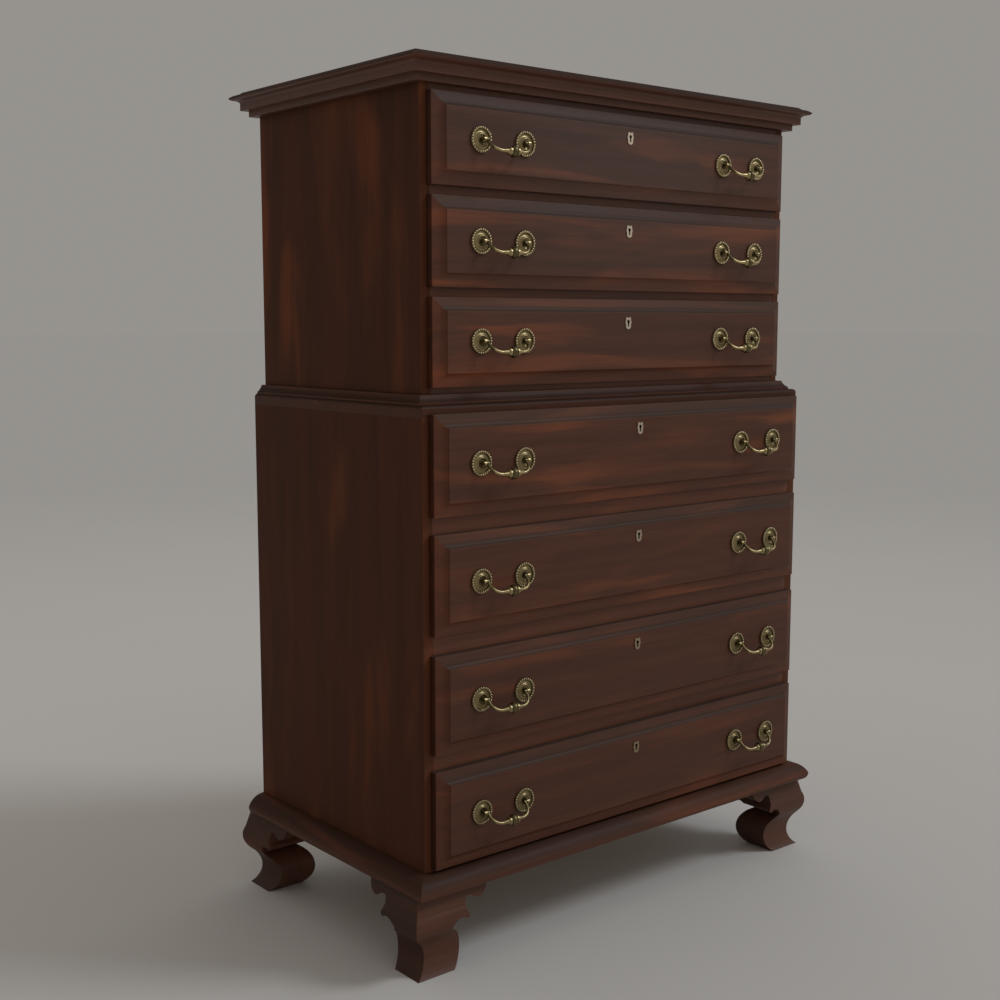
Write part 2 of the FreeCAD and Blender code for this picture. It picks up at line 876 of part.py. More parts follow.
def build():
    os.makedirs("parts", exist_ok=True)
    upper = drawers[:3]
    lower = drawers[3:]
    lower_bottom = lower[-1]["open_low"]
    upper_bottom = upper[-1]["open_low"]

    lower_left, lower_right = sides(lower_half, 0.0, foot_height, lower_top - board)
    save("lower_left_side", [lower_left])
    save("lower_right_side", [lower_right])
    save("lower_top_board", [lower_top_board()])
    save("lower_bottom_board", [bottom_board(lower_room, 0.0, lower_bottom)])
    save("lower_back_panel", [back_panel(lower_room, foot_height, lower_top - board)])
    save("lower_rails", rails(lower) + [base_rail(lower_room, 0.0, foot_height, lower_bottom - board)])
    save("base_moulding", base_moulding())
    left_foot = foot()
    front_feet = left_foot + mirrored(left_foot, Vector(0, 0, 0), Vector(1, 0, 0))
    save("front_feet", front_feet)
    save("rear_feet", mirrored(front_feet, Vector(0, lower_depth / 2, 0), Vector(0, 1, 0)))

    upper_left, upper_right = sides(upper_half, upper_front, lower_top, upper_top)
    save("upper_left_side", [upper_left])
    save("upper_right_side", [upper_right])
    save("upper_bottom_board", [bottom_board(upper_room, upper_front, upper_bottom)])
    save("upper_back_panel", [back_panel(upper_room, lower_top, upper_top)])
    upper_base = base_rail(upper_room, upper_front, lower_top, upper_bottom - board)
    top_rail = rail(upper[0], board, upper_top)
    save("upper_rails", rails(upper) + [upper_base, top_rail])
    save("waist_moulding", waist_moulding())
    save("cornice_moulding", cornice_moulding())
    save("cap_board", cap_board())
    save("drawer_runners", runners(upper) + runners(lower) + kickers())

    for this in drawers:
        name = "drawer_" + str(this["number"])
        save(name + "_front", [drawer_front(this)])
        save(name + "_box", drawer_box(this))
        save(name + "_brasses", brasses(this))
        save(name + "_lock_bolt", [lock_bolt(this)])
        save(name + "_bail_left", [bail(this, -1)])
        save(name + "_bail_right", [bail(this, 1)])


build()
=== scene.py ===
# %% [markdown]
# # A chest-on-chest in dark mahogany
# The real chest is two cases of drawers, one standing on the other. Its solids come from a CAD model, already
# packed with the bodies and joints that let the drawers, handles and lock bolts move. They could be remodelled
# here by hand, but their shapes are right, so they are loaded as they are and this lesson gives them their
# finish. The box around them is kept, because the finished chest may not outgrow it. The box around them is
# measured, and at the end the growth of the finished chest past it is printed.

# %% Load the chest
import math

import bmesh
import bpy
from mathutils import Matrix, Vector


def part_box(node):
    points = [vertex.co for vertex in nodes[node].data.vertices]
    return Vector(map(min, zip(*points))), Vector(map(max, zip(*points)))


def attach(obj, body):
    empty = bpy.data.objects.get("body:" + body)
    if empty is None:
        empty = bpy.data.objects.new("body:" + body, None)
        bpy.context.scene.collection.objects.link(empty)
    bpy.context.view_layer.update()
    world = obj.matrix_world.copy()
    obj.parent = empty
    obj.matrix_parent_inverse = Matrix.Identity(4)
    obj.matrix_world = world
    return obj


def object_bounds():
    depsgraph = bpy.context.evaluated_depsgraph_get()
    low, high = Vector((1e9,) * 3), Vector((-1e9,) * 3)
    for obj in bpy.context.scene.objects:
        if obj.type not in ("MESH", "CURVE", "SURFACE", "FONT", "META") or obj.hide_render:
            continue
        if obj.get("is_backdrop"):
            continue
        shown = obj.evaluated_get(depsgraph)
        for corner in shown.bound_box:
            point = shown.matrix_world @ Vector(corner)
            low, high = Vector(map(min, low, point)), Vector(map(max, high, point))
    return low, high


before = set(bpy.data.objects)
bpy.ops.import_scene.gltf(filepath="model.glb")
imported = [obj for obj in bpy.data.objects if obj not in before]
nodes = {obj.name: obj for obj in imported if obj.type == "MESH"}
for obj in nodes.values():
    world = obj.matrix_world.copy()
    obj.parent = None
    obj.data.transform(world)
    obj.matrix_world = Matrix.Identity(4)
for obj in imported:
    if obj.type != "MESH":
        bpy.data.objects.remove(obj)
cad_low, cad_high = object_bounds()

print("loaded", len(nodes), "nodes, box", [round(v, 4) for v in cad_high - cad_low])

# %% [markdown]
# ## Measuring from the solids
# A moulding runs round its case in three or four lengths that meet at mitres, and the grain turns the corner
# with them. To know where a corner is, a finish needs the planes of the case. They could be typed in again,
# but reading them from the solids keeps the finish on the wood if a size ever changes.

# %% Planes of the two cases
lower_side_low, lower_side_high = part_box("lower_left_side")
upper_side_low, upper_side_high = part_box("upper_left_side")
lower_half, lower_front, case_rear = -lower_side_low.x, lower_side_low.y, lower_side_high.y
upper_half, upper_front = -upper_side_low.x, upper_side_low.y
print("lower case: half width", round(lower_half, 4), "front", round(lower_front, 4))
print("upper case: half width", round(upper_half, 4), "front", round(upper_front, 4))
print("rear of both", round(case_rear, 4))

# %% [markdown]
# ## The camera
# The chest is seen from its left front corner, a little above the middle of its height. The place and the
# angle were worked out from the lines that run to the vanishing points. A long lens stood further off would
# flatten the case, so the focal length is the one that those same lines ask for.

# %% Camera at the left front corner
camera_data = bpy.data.cameras.new("view_camera")
camera_data.lens = 49.87
camera_data.sensor_width = 36.0
camera = bpy.data.objects.new("view_camera", camera_data)
bpy.context.scene.collection.objects.link(camera)
camera.location = (-1.7088, lower_front - 1.7064, 1.0427)
turn, tilt = math.radians(39.65), math.radians(-7.25)
ahead = Vector((math.sin(turn) * math.cos(tilt), math.cos(turn) * math.cos(tilt), math.sin(tilt)))
camera.rotation_mode = "QUATERNION"
camera.rotation_quaternion = ahead.to_track_quat("-Z", "Y")
bpy.context.scene.camera = camera
print("camera", [round(v, 3) for v in camera.location], "lens", camera_data.lens)

# %% [markdown]
# ## Writing shaders in short lines
# Every finish below is a tree of shader nodes. Adding nodes and links one by one is long and hard to read, so
# a small class keeps the tree and offers the few kinds of step that wood, metal and light need. Each step
# gives back an output that the next one can take in.

# %% Steps of a shader tree
class Steps:
    """A tree of shader nodes, with short ways to add to it."""

    def __init__(self, tree):
        self.tree = tree

    def feed(self, socket, value):
        """Set a socket to a number or colour, or link it to an output."""
        if isinstance(value, bpy.types.NodeSocket):
            self.tree.links.new(value, socket)
        else:
            socket.default_value = value

    def step(self, kind, result, inputs, **settings):
        """Add a node, fill its inputs by name or number, and give back one output."""
        node = self.tree.nodes.new("ShaderNode" + kind)
        for key, value in settings.items():
            setattr(node, key, value)
        for key, value in inputs.items():
            self.feed(node.inputs[key], value)
        return node.outputs[result]

    def maths(self, operation, a, b=0.0):
        return self.step("Math", 0, {0: a, 1: b}, operation=operation)

    def plus(self, a, b):
        return self.maths("ADD", a, b)

    def times(self, a, b):
        return self.maths("MULTIPLY", a, b)

    def apart(self, a, b=0.0):
        """How far a lies from b, on either side."""
        return self.maths("ABSOLUTE", self.maths("SUBTRACT", a, b))

    def between(self, value, low, high):
        """0 at low, 1 at high and a smooth change between them."""
        inputs = {"Value": value, "From Min": low, "From Max": high}
        return self.step("MapRange", "Result", inputs, interpolation_type="SMOOTHSTEP", clamp=True)

    def pick(self, factor, a, b):
        """Number a where factor is 0 and b where it is 1."""
        return self.step("Mix", 0, {0: factor, 2: a, 3: b}, data_type="FLOAT")

    def tint(self, factor, a, b, how="MIX"):
        """Colour a where factor is 0 and b where it is 1."""
        return self.step("Mix", 2, {0: factor, 6: a, 7: b}, data_type="RGBA", blend_type=how)

    def shade(self, colour, by):
        """A colour seen through another one."""
        return self.tint(1.0, colour, by, "MULTIPLY")


print("steps:", [name for name in vars(Steps) if not name.startswith("_")])

# %% [markdown]
# ## What a finish knows
# A finish on a real piece changes with the place on it and with the way a face looks. Blender could look both
# up in an image wrapped round the piece. Here they come from the geometry itself: the place in metres, the
# normal, and a noise that is stretched along the grain. So nothing slips or shows a seam.

# %% A finish
class Finish(Steps):
    """A material: its tree, and the surface that the steps end in."""

    def __init__(self, name):
        self.material = bpy.data.materials.new(name)
        self.material.use_nodes = True
        super().__init__(self.material.node_tree)
        self.surface = self.tree.nodes["Principled BSDF"]

    def place(self):
        """The x, y and z of a point on the piece, in metres."""
        split = self.tree.nodes.new("ShaderNodeSeparateXYZ")
        self.feed(split.inputs[0], self.step("TexCoord", "Object", {}))
        return split.outputs

    def facing(self, axis):
        """How far a face looks along an axis, from -1 to 1."""
        return self.step("SeparateXYZ", axis, {0: self.step("NewGeometry", "True Normal", {})})

    def layer(self, distances, along, across, detail=3.0, roughness=0.5, distortion=0.0):
        """Noise with so many lumps a metre along the grain and across it."""
        parts = [self.times(value, scale) for value, scale in zip(distances, (along, across, across))]
        vector = self.step("CombineXYZ", 0, dict(enumerate(parts)))
        inputs = {"Vector": vector, "Scale": 1.0, "Detail": detail, "Roughness": roughness}
        return self.step("TexNoise", 0, {**inputs, "Distortion": distortion})

    def closed_in(self, distance, samples):
        """1 in the open and less where other faces lie within a distance."""
        return self.step("AmbientOcclusion", "AO", {"Distance": distance}, samples=samples)

    def relief(self, height, strength, distance, **normal):
        return self.step("Bump", 0, {"Strength": strength, "Distance": distance, "Height": height, **normal})

    def cover(self, colour, roughness, normal):
        """Lead the last steps into the surface and give back the material."""
        for name, value in (("Base Color", colour), ("Roughness", roughness), ("Normal", normal)):
            self.feed(self.surface.inputs[name], value)
        return self.material


print("a finish adds:", [name for name in vars(Finish) if not name.startswith("_")])

# %% [markdown]
# ## Which way the grain runs
# A joiner lays the grain along the length of each board: across a drawer front, up a case side, front to back
# on a runner. A mitred moulding changes direction at its corner. One long image of wood would get every one
# of these wrong, so the grain is worked out from the place of each point. Each layout below gives three
# distances: along the grain, across it and into the wood.

# %% Grain along a board or round a case
foot_shift = 0.0115


def across(finish):
    x, y, z = finish.place()
    return x, z, y


def upright(finish):
    x, y, z = finish.place()
    return z, y, x


def front_to_back(finish):
    x, y, z = finish.place()
    return y, z, x


def round_case(half, front):
    """Grain round the four sides of a case, with the change at the mitres."""
    def layout(finish):
        x, y, z = finish.place()
        beyond_side = finish.maths("SUBTRACT", finish.apart(x), half)
        beyond_front = finish.maths("SUBTRACT", front, y)
        beyond_rear = finish.maths("SUBTRACT", y, case_rear)
        beyond_ends = finish.maths("MAXIMUM", beyond_front, beyond_rear)
        on_side = finish.maths("GREATER_THAN", beyond_side, beyond_ends)
        return finish.pick(on_side, x, y), z, finish.pick(on_side, y, x)
    return layout


round_upper_case = round_case(upper_half, upper_front)
round_lower_case = round_case(lower_half, lower_front)
round_feet = round_case(lower_half + foot_shift, lower_front)
print("grain runs across, upright, front to back or round a case")

# %% [markdown]
# ## The layers of mahogany
# Seen close, the wood has a broad figure that turns to the light in soft patches, narrower streaks, fine
# fibres, and pores that are short dark dashes. One noise cannot be all of these. Four of them are stretched
# along the grain by different amounts, and each does one job.

# %% Figure, streaks, fibres and pores
def grain_layers(finish, layout, closeness):
    """The four layers; closeness says how near each other the lines of figure and streaks lie."""
    distances = layout(finish)
    figure = finish.layer(distances, 2.4, 17.0 * closeness, 2.5, 0.5, 0.8)
    streak = finish.layer(distances, 1.8, 48.0 * closeness, 4.0, 0.55, 0.4)
    fibre = finish.layer(distances, 14.0, 520.0, 3.0, 0.6)
    pore = finish.layer(distances, 160.0, 1900.0, 1.0)
    return figure, finish.between(streak, 0.28, 0.76), fibre, finish.between(pore, 0.6, 0.74)


print("four layers of grain")

# %% [markdown]
# ## Wear, and painted light and shade by facing
# A chest that has been used and polished for so long is not one colour. Its outer edges are rubbed to a
# lighter red. Slopes of the fronts that face down or left are made lighter and redder: painted light. The
# left edges of the fronts, the tops of the mouldings and the sides of the feet are made darker: painted
# shade. Faces of the case sides that look to the front are made lighter: painted light. Such marks could be
# painted by hand, but all of them follow from the way a face looks, so an accent names an axis, how far
# along it a face must look for the change to start and to be full, the tint, and how much duller the polish
# is there.

# %% Worn edges, and painted light and shade by facing
def accent(axis, start, full, tint, duller=0.0):
    def change(finish, colour, gloss):
        mask = finish.between(finish.facing(axis), start, full)
        colour = finish.tint(mask, colour, finish.shade(colour, tint))
        return colour, finish.plus(gloss, finish.times(mask, duller))
    return change


def edge_wear(finish, rounded):
    """1 on an outer edge and 0 on a flat face: there a rounded normal leans away from the true one."""
    true = finish.step("NewGeometry", "True Normal", {})
    lean = finish.step("VectorMath", "Value", {0: rounded, 1: true}, operation="DOT_PRODUCT")
    return finish.between(lean, 0.995, 0.8)


# Painted light: slopes of the fronts that face down or left are made lighter and redder.
painted_light_undersides = accent("Z", -0.03, -0.25, (1.22, 1.16, 1.08, 1))
painted_light_left_slopes = accent("X", -0.03, -0.25, (1.2, 1.04, 0.92, 1))
# Painted shade: faces of the fronts that look far to the left are darkened, with a duller polish.
painted_shade_left_edges = accent("X", -0.7, -0.95, (0.5, 0.44, 0.38, 1), 0.1)
# Painted light: faces of the case sides that look to the front are made lighter.
painted_light_front_edges = accent("Y", -0.4, -0.6, (1.45, 1.45, 1.45, 1))
# Painted shade: faces that look up are darkened, with a duller polish.
painted_shade_tops = accent("Z", 0.05, 0.75, (0.5, 0.5, 0.5, 1), 0.28)
# Painted shade: faces of the feet that do not look to the front are darkened, with a duller polish.
painted_shade_feet_sides = accent("Y", -0.65, -0.3, (0.58, 0.58, 0.58, 1), 0.15)
print("six accents")

# %% [markdown]
# ## Painted sheen, painted shade and dust on the drawer fronts
# The upper fronts are mixed toward a bluish grey in their middles: a painted sheen. The lower ones are made
# darker, a painted shade, and their figure plainer. The slopes that face up are mixed toward a dark
# grey-brown: dust and painted shade. It is a layer with a colour of its own, so it is mixed in over the
# wood, where a tint would only darken the red.

# %% Painted sheen, painted shade and dust
painted_low_shade = (0.86, 0.84, 0.82, 1)
painted_sheen_grey = (0.105, 0.122, 0.132, 1)
dust_and_shade_grey = (0.041, 0.0255, 0.0195, 1)


def plainer_low_down(finish, redness):
    height = finish.place()[2]
    return finish.times(redness, finish.pick(finish.between(height, 0.2, 0.85), 0.5, 1.0))


def painted_sheen_shade_and_dust(finish, colour, gloss):
    sideways, _, height = finish.place()
    # Painted shade: lower down, the fronts are darkened.
    colour = finish.tint(finish.between(height, 0.15, 0.85), finish.shade(colour, painted_low_shade), colour)
    # Painted sheen: high up, the middles of the fronts are mixed toward a bluish grey.
    most = finish.pick(finish.between(finish.apart(sideways), 0.1, 0.4), 0.18, 0.07)
    colour = finish.tint(finish.times(finish.between(height, 0.85, 1.42), most), colour, painted_sheen_grey)
    # Dust and painted shade: faces that look up are mixed toward a dark grey-brown, with a duller polish.
    facing_up = finish.between(finish.facing("Z"), 0.12, 0.4)
    colour = finish.tint(finish.times(facing_up, 0.7), colour, dust_and_shade_grey)
    return colour, finish.plus(gloss, finish.times(facing_up, 0.4))


print("bloom", painted_sheen_grey[:3], "dust", dust_and_shade_grey[:3])

# %% [markdown]
# ## Polished mahogany
# The wood is dark brown with redder streaks, under a thin satin polish that is darker in the corners, with
# old wax and painted shade. The layers are mixed from the broadest to the finest, then come wear, painted
# light and shade, age, and the wax and shade of the corners, and the polish is a clear coat over them all.

# %% Mahogany from its layers
dark_brown = (0.076, 0.0280, 0.0150)
mid_brown = (0.105, 0.0365, 0.0183)
warm_red = (0.215, 0.061, 0.0215)
fibre_shade = (0.8, 0.78, 0.78, 1)
old_wax_and_shade = (0.008, 0.0045, 0.0035, 1)


def toned(colour, tone):
    return tuple(part * tone for part in colour) + (1,)


def mahogany(name, layout, tone, figure, shine, closeness=1.0, accents=(), aged_and_lit=False):
    finish = Finish(name)
    dark, middle, red = [toned(colour, tone) for colour in (dark_brown, mid_brown, warm_red)]
    broad, streak, fibre, pore = grain_layers(finish, layout, closeness)
    patch = finish.between(broad, 0.60 - 0.16 * figure, 0.84 - 0.16 * figure)
    redness = finish.times(patch, finish.pick(streak, 0.45, 0.95))
    # This switch makes the figure plainer low down and, further on, lays on the painted sheen, painted shade
    # and dust.
    if aged_and_lit:
        redness = plainer_low_down(finish, redness)
    colour = finish.tint(redness, finish.tint(streak, dark, middle), red)
    colour = finish.tint(finish.between(fibre, 0.25, 0.75), finish.shade(colour, fibre_shade), colour)
    colour = finish.tint(finish.times(pore, 0.4), colour, dark)
    rounded = finish.step("Bevel", 0, {"Radius": 0.0015}, samples=4)
    colour = finish.tint(finish.times(edge_wear(finish, rounded), 0.4), colour, red)
    gloss = finish.plus(finish.pick(streak, 0.44, 0.52), finish.times(pore, 0.15))
    for change in accents + ((painted_sheen_shade_and_dust,) if aged_and_lit else ()):
        colour, gloss = change(finish, colour, gloss)
    # Old wax and painted shade: the wood is darkened where other faces lie close.
    colour = finish.tint(finish.pick(finish.closed_in(0.003, 4), 0.45, 0.0), colour, old_wax_and_shade)
    grain_height = finish.maths("SUBTRACT", finish.times(fibre, 0.35), pore)
    finish.surface.inputs["Specular IOR Level"].default_value = shine
    finish.surface.inputs["Coat Weight"].default_value = shine / 4
    finish.surface.inputs["Coat Roughness"].default_value = 0.35
    return finish.cover(colour, gloss, finish.relief(grain_height, 0.12, 0.0004, Normal=rounded))


print("browns", dark_brown, mid_brown, "red", warm_red)

# %% [markdown]
# ## The woods of the outside
# The sides were cut from duller boards than the fronts, and the mouldings from plain straight-grained strips.
# One mahogany for all would look like paint, so each kind of piece has its own tone, figure and shine. The
# rails have a much lighter tone than the fronts, which lifts the shade that falls on them between the
# drawer lips: painted light.

# %% Mahogany for each kind of piece
front_accents = (painted_light_undersides, painted_light_left_slopes, painted_shade_left_edges)
front_wood = mahogany("front_mahogany", across, 1.07, 0.75, 0.25, accents=front_accents, aged_and_lit=True)
side_wood = mahogany("side_mahogany", upright, 0.88, 0.55, 0.06, 0.5, accents=(painted_light_front_edges,))
# Painted light: the rails are made much lighter than the fronts, against the shade between the lips.
rail_wood = mahogany("rail_mahogany", across, 1.75, 0.2, 0.3, aged_and_lit=True)
board_wood = mahogany("board_mahogany", across, 0.9, 0.2, 0.15, accents=(painted_shade_tops,))
base_wood = mahogany("base_mahogany", round_lower_case, 1.1, 0.35, 0.2, accents=(painted_shade_tops,))
waist_wood = mahogany("waist_mahogany", round_upper_case, 1.05, 0.2, 0.15, accents=(painted_shade_tops,))
cornice_wood = mahogany("cornice_mahogany", round_upper_case, 1.35, 0.2, 0.4)
foot_wood = mahogany("foot_mahogany", round_feet, 1.1, 0.45, 0.3, accents=(painted_shade_feet_sides,))
print("mahogany finishes:", [m.name for m in bpy.data.materials if "mahogany" in m.name])

# %% [markdown]
# ## The wood that does not show
# Drawer boxes, runners and backs are made of plain pale wood, left raw. Nobody polishes it, so it is dull,
# and it has gone browner in patches. It is darker in its corners: dirt and painted shade. The same kind of
# layers serve, with paler colours and no coat.

# %% Raw inner wood
pale_ring, dark_ring = (0.47, 0.32, 0.18, 1), (0.30, 0.185, 0.095, 1)
brown_patch = (0.36, 0.22, 0.11, 1)
dark_fibre = (0.2, 0.12, 0.06, 1)
corner_dirt_and_shade = (0.10, 0.065, 0.035, 1)


def raw_wood(name, layout):
    finish = Finish(name)
    distances = layout(finish)
    broad = finish.layer(distances, 1.5, 11.0, 3.0, 0.55, 0.6)
    ring = finish.layer(distances, 2.0, 110.0, 4.0, 0.6, 0.5)
    fibre = finish.layer(distances, 20.0, 700.0, 2.0)
    colour = finish.tint(finish.between(ring, 0.3, 0.7), dark_ring, pale_ring)
    colour = finish.tint(finish.between(broad, 0.4, 0.75), colour, brown_patch)
    colour = finish.tint(finish.pick(finish.between(fibre, 0.3, 0.7), 0.3, 0.0), colour, dark_fibre)
    # Dirt and painted shade: the wood is darkened where other faces lie close.
    colour = finish.tint(finish.pick(finish.closed_in(0.03, 6), 0.45, 0.0), colour, corner_dirt_and_shade)
    finish.surface.inputs["Specular IOR Level"].default_value = 0.3
    return finish.cover(colour, finish.pick(ring, 0.7, 0.85), finish.relief(fibre, 0.2, 0.0004))


print("raw wood from", dark_ring[:3], "to", pale_ring[:3])

# %% [markdown]
# ## Boards of a back, sides of a drawer
# A back is glued up from narrow boards, so its grain jumps to another place in the noise at each joint. In a
# drawer the sides run front to back, the back and the bottom run across, and the faces tell which is which.
# Separate finishes for every board would do the same with far more names.

# %% Layouts of the inner pieces
board_width = 0.137
board_jump = 3.71


def boards_of_back(finish):
    x, y, z = finish.place()
    board = finish.maths("FLOOR", finish.maths("DIVIDE", x, board_width))
    jump = finish.times(board, board_jump)
    return finish.plus(z, jump), finish.plus(x, jump), y


def sides_of_drawer(finish):
    x, y, z = finish.place()
    on_side = finish.maths("GREATER_THAN", finish.apart(finish.facing("X")), 0.5)
    return finish.pick(on_side, x, y), z, finish.pick(on_side, y, x)


back_wood = raw_wood("back_board_wood", boards_of_back)
floor_wood = raw_wood("case_floor_wood", across)
runner_wood = raw_wood("runner_wood", front_to_back)
box_wood = raw_wood("drawer_box_wood", sides_of_drawer)
print("raw finishes:", back_wood.name, floor_wood.name, runner_wood.name, box_wood.name)

# %% [markdown]
# ## Tarnished metal
# The handles are cast brass, lacquered long ago and gone olive-brown in every hollow, with bright metal where
# fingers rub the high places. All of it is brighter on the upper drawers than near the floor. A plain metal
# shader looks like new plumbing, so the tarnish is laid in where a point is closed in by its neighbours, and
# broken up with a fine cloud.

# %% Metal that is bright on high places
def old_metal(name, bright, tarnish, smooth, rough, low_share=1.0, other=None):
    """low_share is how bright it still is near the floor; other gives a part of another colour."""
    finish = Finish(name)
    x, y, z = finish.place()
    bright = finish.tint(finish.between(z, 0.15, 1.25), toned(bright[:3], low_share), bright)
    if other:
        mask, other_colour = other(finish, x, y, z)
        bright = finish.tint(mask, bright, other_colour)
    cloud = finish.layer((x, y, z), 420.0, 420.0, 4.0, 0.6)
    fine = finish.layer((x, y, z), 2600.0, 2600.0, 2.0)
    rubbed = finish.plus(finish.closed_in(0.007, 8), finish.times(cloud, 0.5))
    polish = finish.between(rubbed, 0.72, 1.22)
    finish.surface.inputs["Metallic"].default_value = 1.0
    cast_height = finish.plus(cloud, finish.times(fine, 0.3))
    cast_skin = finish.relief(cast_height, 0.1, 0.0003)
    return finish.cover(finish.tint(polish, tarnish, bright), finish.pick(polish, rough, smooth), cast_skin)


print("metal is bright in the open and tarnished in the hollows")

# %% [markdown]
# ## Plates and grips
# The keyhole plates are paler than the other brass of their drawer, and the bead in the middle of each grip
# and the knuckles at its ends are darker. They are parts of larger nodes, so they are told apart by
# their place: a plate lies at the middle of a drawer on its field, and a bead half way between two posts.

# %% Paler plates and dark beads
dull_plate, bright_plate = (0.36, 0.27, 0.18, 1), (1.0, 0.86, 0.69, 1)
dark_bead = (0.16, 0.125, 0.06, 1)
plate_half_width = 0.011
under_plate = 0.0005
bead_start, bead_full = 0.0058, 0.0048
knuckle_start, knuckle_full = 0.0345, 0.0375


def keyhole_plate(finish, x, y, z):
    """The lock cases lie behind the fields and keep the other brass."""
    upper_field, lower_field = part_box("drawer_1_front")[0].y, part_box("drawer_4_front")[0].y
    in_upper_case = finish.maths("GREATER_THAN", z, lower_side_high.z)
    field = finish.pick(in_upper_case, lower_field, upper_field)
    on_field = finish.maths("LESS_THAN", y, finish.plus(field, under_plate))
    at_middle = finish.maths("LESS_THAN", finish.apart(x), plate_half_width)
    plate_brass = finish.tint(finish.between(z, 0.3, 1.4), dull_plate, bright_plate)
    return finish.times(on_field, at_middle), plate_brass


def handle_middle(number):
    low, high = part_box("drawer_%d_bail_right" % number)
    return (low.x + high.x) / 2


def dark_grip(number):
    """The dark parts of a handle, for the drawers whose handles stand as far out as those of this one."""
    def mask_and_colour(finish, x, y, z):
        off = finish.apart(finish.apart(x), handle_middle(number))
        bead = finish.between(off, bead_start, bead_full)
        knuckle = finish.between(off, knuckle_start, knuckle_full)
        return finish.maths("MAXIMUM", bead, knuckle), dark_bead
    return mask_and_colour


print("handles at", round(handle_middle(1), 4), "and", round(handle_middle(4), 4), "from the middle")

# %% [markdown]
# ## The brasses and the bolts
# The beaded rims of the handle plates have a paler brass than the rest: a painted highlight for the light
# they catch. The bolts are plain steel. The handles of the three upper drawers stand nearer the middle than
# those of the four lower ones, so their brass knows another place for its bead.

# %% Metal for each kind of piece
old_gold, olive_brown = (0.50, 0.39, 0.20, 1), (0.075, 0.058, 0.026, 1)
pale_gold, rim_brown = (0.66, 0.54, 0.31, 1), (0.19, 0.15, 0.075, 1)
steel_grey, steel_dark = (0.42, 0.42, 0.41, 1), (0.12, 0.11, 0.10, 1)
# Painted highlight: the bead rims are given a paler brass.
rim_brass = old_metal("rim_brass", pale_gold, rim_brown, 0.34, 0.5, 0.6)
upper_bail_brass = old_metal("upper_bail_brass", old_gold, olive_brown, 0.38, 0.55, 0.65, dark_grip(1))
lower_bail_brass = old_metal("lower_bail_brass", old_gold, olive_brown, 0.38, 0.55, 0.65, dark_grip(4))
drawer_brass = old_metal("drawer_brass", old_gold, olive_brown, 0.36, 0.55, 0.7, keyhole_plate)
bolt_steel = old_metal("bolt_steel", steel_grey, steel_dark, 0.32, 0.5)
print("metal finishes:", [m.name for m in bpy.data.materials if m.name.endswith(("_brass", "_steel"))])

# %% [markdown]
# ## Giving each piece its finish
# The names of the nodes say what they are, so a short list from the ends of the names to the finishes covers
# the whole chest. Setting sixty materials by hand would be the other way, and one would be missed.

# %% Finish for every node
drawer_numbers = range(1, 8)
upper_drawers = range(1, 4)
finish_for = {
    "_front": front_wood,
    "_side": side_wood,
    "_rails": rail_wood,
    "_top_board": board_wood,
    "cap_board": board_wood,
    "base_moulding": base_wood,
    "waist_moulding": waist_wood,
    "cornice_moulding": cornice_wood,
    "_feet": foot_wood,
    "upper_bottom_board": rail_wood,
    "lower_bottom_board": floor_wood,
    "_back_panel": back_wood,
    "_runners": runner_wood,
    "_box": box_wood,
    "_brasses": drawer_brass,
    "_lock_bolt": bolt_steel,
}
for number in drawer_numbers:
    bail_brass = upper_bail_brass if number in upper_drawers else lower_bail_brass
    for side in ("left", "right"):
        finish_for["drawer_%d_bail_%s" % (number, side)] = bail_brass
for name, piece in nodes.items():
    ending = next(e for e in finish_for if name.endswith(e))
    piece.data.materials.clear()
    piece.data.materials.append(finish_for[ending])
print("finished", len(nodes), "nodes")

# %% [markdown]
# ## Beaded rims
# Round the edge of every handle plate runs a row of small beads. Carving them into the solids would cost
# thousands of faces there for no use, so each drawer gets one piece here: small domed beads set in a ring on
# each of its four plates. It rides with the drawer.

# %% Where the beads lie
beads_round = 26
bead_radius = 0.0022
bead_reach = 0.0024
plate_radius = 0.020
ring_radius = 0.0184
post_distance = 0.045


def bead_spots(number):
    """The middles of the beads of one drawer, from the boxes of its front, its brasses and a handle."""
    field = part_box("drawer_%d_front" % number)[0].y
    plate_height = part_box("drawer_%d_brasses" % number)[0].z + plate_radius
    for side in (-1, 1):
        for post in (-post_distance, post_distance):
            plate_x = side * handle_middle(number) + post
            for bead in range(beads_round):
                angle = 2 * math.pi * bead / beads_round
                out, up = ring_radius * math.cos(angle), ring_radius * math.sin(angle)
                yield Vector((plate_x + out, field - bead_reach, plate_height + up))


print("beads on a drawer:", len(list(bead_spots(1))))

# %% [markdown]
# ## Making the beads
# A bead is a small ball of brass, half sunk in the rim. An instance for each would be lighter to draw, but one
# joined mesh for a drawer is one piece to move and to export.

# %% Beads round the handle plates
def bead_rims(number):
    shape = bmesh.new()
    for spot in bead_spots(number):
        matrix = Matrix.Translation(spot)
        bmesh.ops.create_icosphere(shape, subdivisions=2, radius=bead_radius, matrix=matrix)
    mesh = bpy.data.meshes.new("drawer_%d_bead_rims" % number)
    shape.to_mesh(mesh)
    shape.free()
    for face in mesh.polygons:
        face.use_smooth = True
    mesh.materials.append(rim_brass)
    piece = bpy.data.objects.new(mesh.name, mesh)
    bpy.context.scene.collection.objects.link(piece)
    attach(piece, "drawer_%d" % number)
    return piece


rims = [bead_rims(number) for number in drawer_numbers]
print("bead rims:", len(rims), "pieces of", len(rims[0].data.polygons), "faces")

# %% [markdown]
# ## Floor
# The chest stands on a plain grey sheet that runs back without a line until it is lost in a grey wall of the
# same tone. A curved backdrop would have to be turned for every other view, so a very large flat floor is
# used, and the far background is given the tone that this floor has in the light.

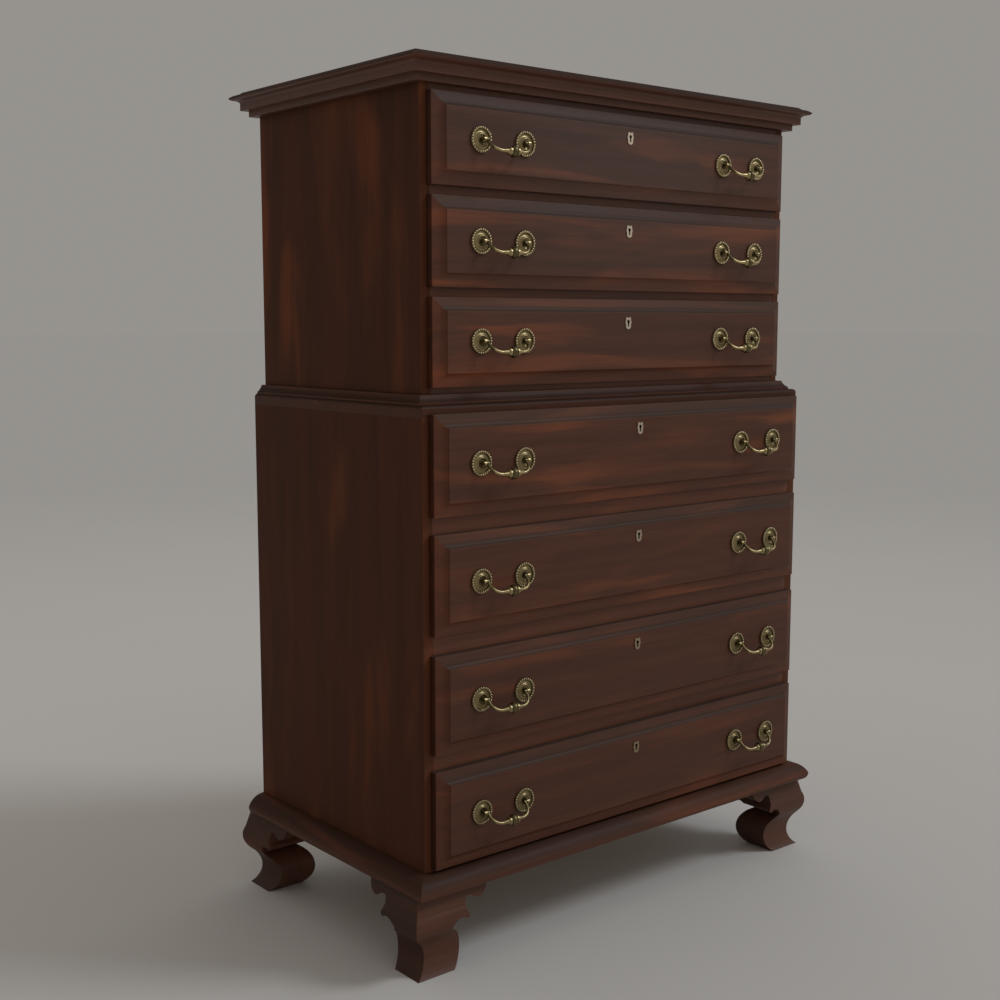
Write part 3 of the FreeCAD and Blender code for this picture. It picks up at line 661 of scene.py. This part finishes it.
# %% A plain grey floor
floor_grey = (0.437, 0.426, 0.417)
floor_reach = 150.0
corners = [(x * floor_reach, y * floor_reach, 0) for x, y in ((-1, -1), (1, -1), (1, 1), (-1, 1))]
floor_mesh = bpy.data.meshes.new("studio_floor")
floor_mesh.from_pydata(corners, [], [(0, 1, 2, 3)])
floor = bpy.data.objects.new("studio_floor", floor_mesh)
bpy.context.scene.collection.objects.link(floor)
paper = Finish("studio_paper")
x, y, z = paper.place()
away = paper.maths("SQRT", paper.plus(paper.times(x, x), paper.times(y, y)))
# Painted light: near the chest the floor is made lighter, against the shade that the chest casts on it.
painted_light_near_tone, far_tone = toned(floor_grey, 1.2), toned(floor_grey, 1.0)
tone = paper.tint(paper.between(away, 1.2, 7.0), painted_light_near_tone, far_tone)
cloud = paper.layer((x, y, z), 1.3, 1.3, 2.0)
cloudy_tone = paper.tint(cloud, tone, paper.shade(tone, (0.97, 0.97, 0.97, 1)))
paper.feed(paper.surface.inputs["Base Color"], cloudy_tone)
paper.surface.inputs["Roughness"].default_value = 1.0
paper.surface.inputs["Specular IOR Level"].default_value = 0.0
floor_mesh.materials.append(paper.material)
floor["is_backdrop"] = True
print("floor", floor.dimensions[:2])

# %% [markdown]
# ## The lamp
# The light is soft. A cool lamp stands to the right in front, so the left side lies in shade and a soft shadow
# spreads on the floor to the left and behind. A small bright lamp would put hard streaks on the polish, so
# this one is as wide as a big window.

# %% A lamp as wide as a window
lamp_data = bpy.data.lights.new("window_lamp", "SUN")
lamp_data.angle = math.radians(16)
lamp_data.energy = 0.95
lamp_data.color = (0.88, 0.95, 1.0)
lamp = bpy.data.objects.new("window_lamp", lamp_data)
bpy.context.scene.collection.objects.link(lamp)
towards_lamp = Vector((0.587, -0.453, 0.669))
lamp.rotation_mode = "QUATERNION"
lamp.rotation_quaternion = towards_lamp.to_track_quat("Z", "Y")
print("lamp", lamp_data.energy, "towards", [round(v, 3) for v in towards_lamp])

# %% [markdown]
# ## The light all round
# Most of the light comes from all round, a little warm, and stronger from the right than from the left. A
# background that is only seen, by the eye and in polished metal, is kept apart from it, so that its tone can
# follow the floor's without changing the light on the chest.

# %% Even light and a grey background
shade_side, window_side = (0.52, 0.46, 0.38, 1), (1.48, 1.44, 1.38, 1)
background_grey = (0.305, 0.292, 0.275, 1)
sky = bpy.data.worlds.new("studio_sky")
sky.use_nodes = True
air = Steps(sky.node_tree)
even_light = air.tree.nodes["Background"]
to_the_right = air.step("SeparateXYZ", "X", {0: air.step("TexCoord", "Generated", {})})
rightness = air.step("MapRange", "Result", {"Value": to_the_right, "From Min": -1.0})
air.feed(even_light.inputs["Color"], air.tint(rightness, shade_side, window_side))
even_light.inputs["Strength"].default_value = 0.52
background = air.step("Background", 0, {"Color": background_grey})
rays = air.tree.nodes.new("ShaderNodeLightPath").outputs
seen = air.maths("MAXIMUM", rays["Is Camera Ray"], rays["Is Glossy Ray"])
seen = air.maths("MAXIMUM", seen, rays["Is Transmission Ray"])
either = air.step("MixShader", 0, {0: seen, 1: even_light.outputs[0], 2: background})
air.feed(air.tree.nodes["World Output"].inputs["Surface"], either)
bpy.context.scene.world = sky
bpy.context.scene.view_settings.view_transform = "Standard"
print("even light", round(even_light.inputs["Strength"].default_value, 3), "background", background_grey[:3])

# %% [markdown]
# ## Last measure
# How far the finished chest reaches past the box of its solids is printed in millimetres. The finished
# chest must still fit the box of its solids.

# %% Sizes
new_low, new_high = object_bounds()
grown = [max(a - b, c - d) for a, b, c, d in zip(cad_low, new_low, new_high, cad_high)]
print("grown by", [round(growth * 1000, 2) for growth in grown], "mm")
